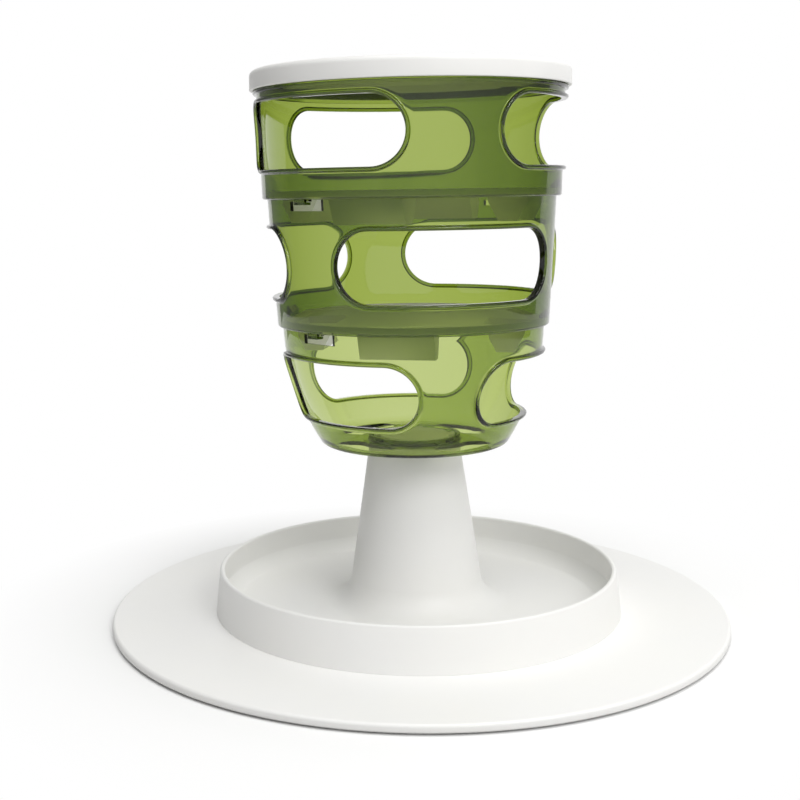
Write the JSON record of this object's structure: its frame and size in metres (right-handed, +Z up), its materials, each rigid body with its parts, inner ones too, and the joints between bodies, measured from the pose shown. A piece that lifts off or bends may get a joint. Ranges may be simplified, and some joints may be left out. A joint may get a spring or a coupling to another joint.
{
  "type": "cat puzzle feeder",
  "caption": "Tower of clear green windowed tiers on a white column and dish: food is pawed down through drop discs and falls into the dish; a lid closes the top.",
  "frame": {"origin": "centre of the footprint, on the floor under the foot pads", "axes": "+Z up along the column, -Y to the front, +X to the right seen from the front"},
  "size_m": [0.3599, 0.36, 0.3243],
  "materials": {
    "white_plastic": "satin",
    "clear_green": "clear, polished",
    "pad_rubber": "matte"
  },
  "bodies": {
    "base": {"base_plate": "white_plastic", "foot_pads": "pad_rubber", "dish": "white_plastic"},
    "lower": {"lower_tier": "clear_green"},
    "lower_drop": {"middle_disc": "white_plastic"},
    "middle": {"middle_tier": "clear_green"},
    "upper_drop": {"top_disc": "white_plastic"},
    "top": {"top_tier": "clear_green"},
    "cover": {"lid": "white_plastic"}
  },
  "joints": [
    {"name": "column_lock", "type": "hinge", "parent": "base", "child": "lower", "pos_m": [0, 0, 0.103], "axis": [0, 0, 1], "range_deg": [0, 45]},
    {"name": "middle_disc_turn", "type": "hinge", "parent": "lower", "child": "lower_drop", "pos_m": [0, 0, 0.175], "axis": [0, 0, 1], "continuous": true},
    {"name": "middle_lock", "type": "hinge", "parent": "lower", "child": "middle", "pos_m": [0, 0, 0.1745], "axis": [0, 0, 1], "range_deg": [-5, 6.2]},
    {"name": "top_disc_turn", "type": "hinge", "parent": "middle", "child": "upper_drop", "pos_m": [0, 0, 0.2498], "axis": [0, 0, 1], "continuous": true},
    {"name": "top_lock", "type": "hinge", "parent": "middle", "child": "top", "pos_m": [0, 0, 0.2493], "axis": [0, 0, 1], "range_deg": [-5, 6.2]},
    {"name": "lid_lift", "type": "slide", "parent": "top", "child": "cover", "axis": [0, 0, 1], "range_m": [0, 0.06]}
  ]
}
